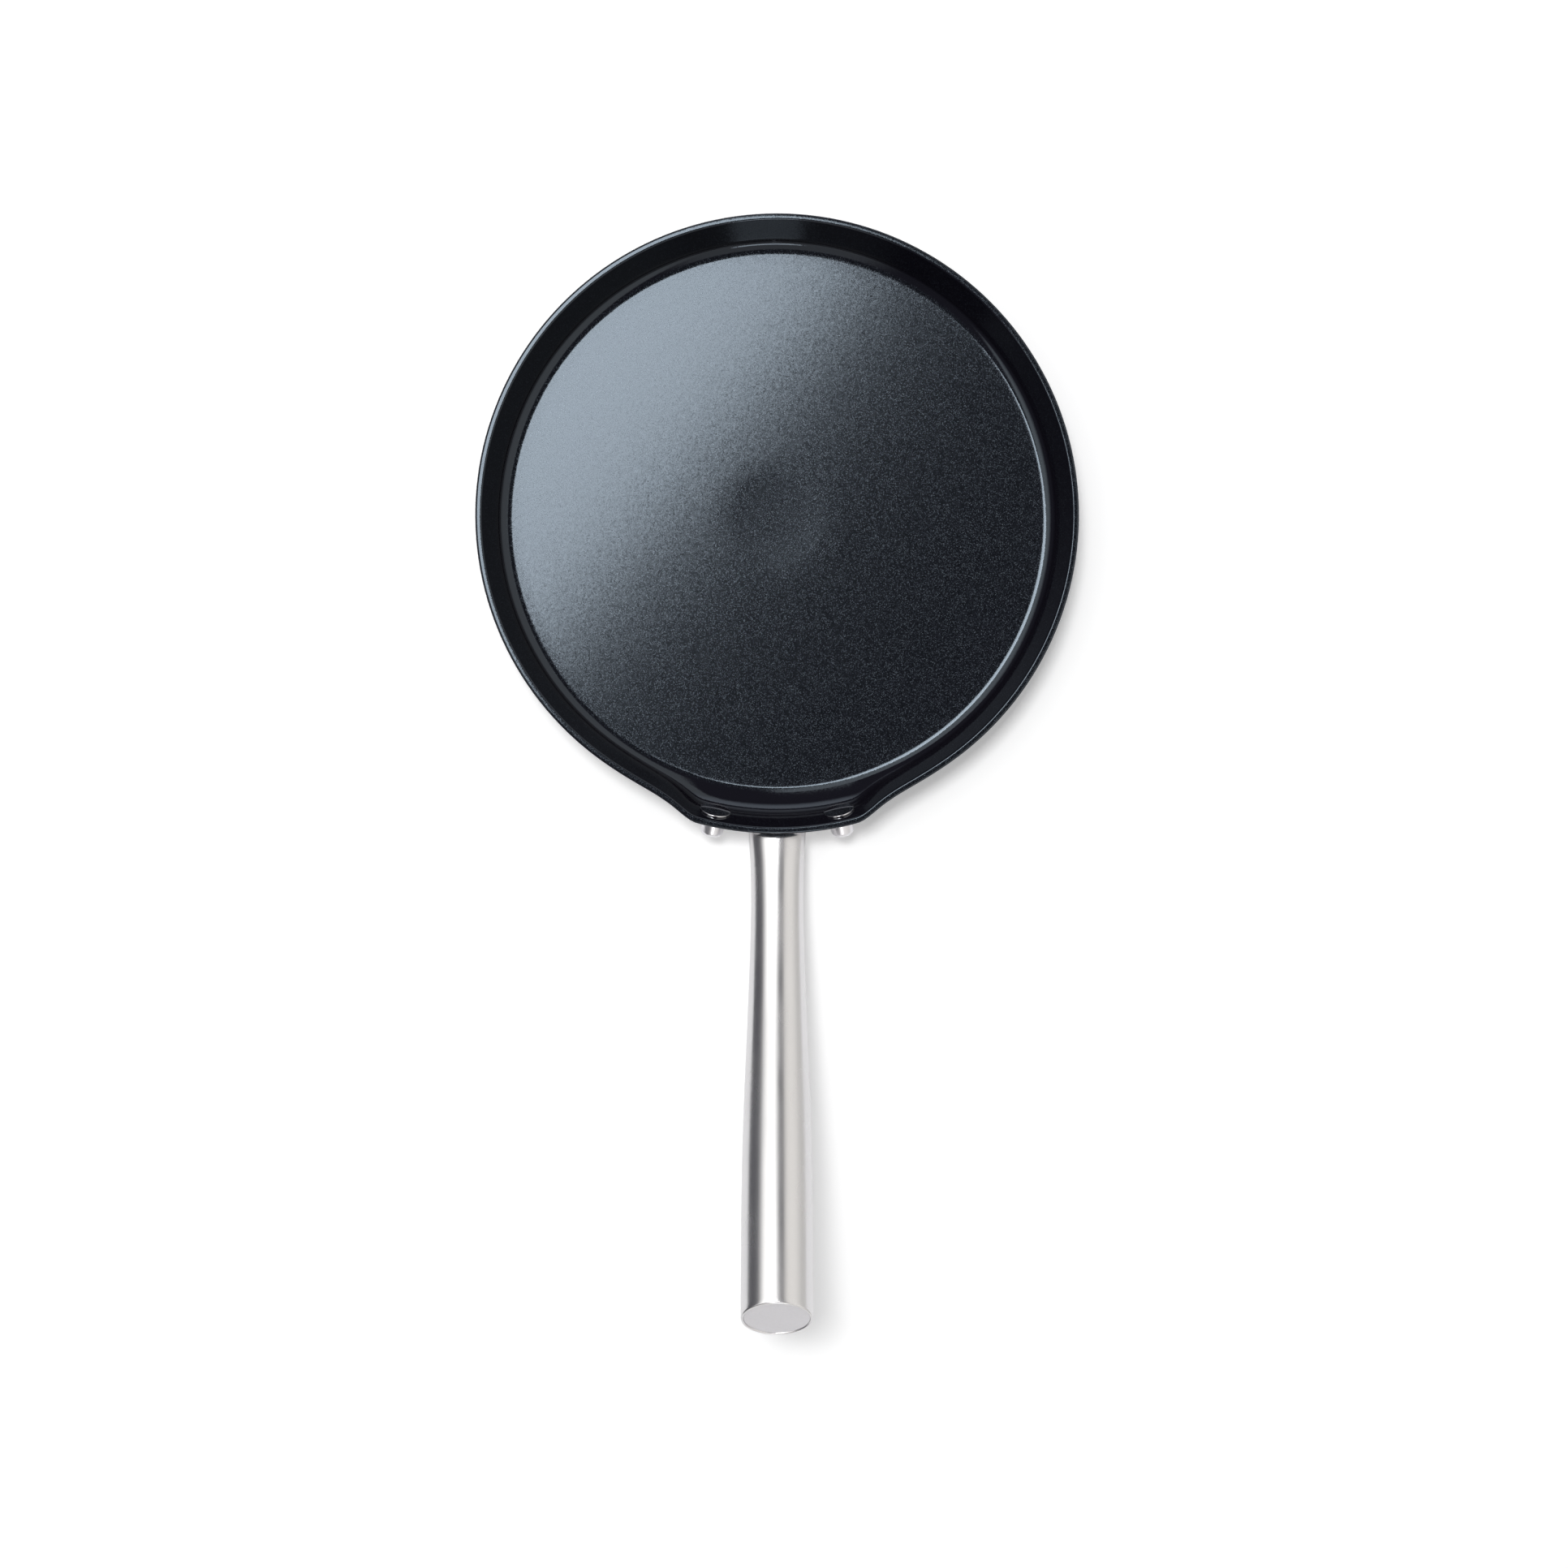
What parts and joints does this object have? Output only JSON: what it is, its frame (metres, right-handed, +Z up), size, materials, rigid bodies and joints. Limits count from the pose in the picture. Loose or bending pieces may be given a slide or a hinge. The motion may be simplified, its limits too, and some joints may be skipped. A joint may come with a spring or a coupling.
{
  "type": "crepe pan",
  "caption": "Round non-stick crepe pan with a low sloping wall, a riveted hollow steel handle that rises from the rim, and a perforated steel disc in the base.",
  "frame": {"origin": "centre of the pan's resting face", "axes": "+Z up, handle towards -Y, +X to the right seen from above with the handle at the bottom"},
  "size_m": [0.28, 0.5111, 0.0867],
  "materials": {
    "coated_aluminium": "glossy black non-stick coating with fine pale speckles",
    "disc_steel": "satin, turned in fine rings",
    "bracket_steel": "satin",
    "handle_steel": "satin, brushed along the handle",
    "rivet_steel": "polished",
    "cap_steel": "fine matte"
  },
  "bodies": {
    "root": {"pan_body": "coated_aluminium", "induction_disc": "disc_steel", "handle_bracket": "bracket_steel", "handle_tube": "handle_steel", "handle_end_cap": "cap_steel", "rivet_left": "rivet_steel", "rivet_right": "rivet_steel"}
  },
  "joints": []
}
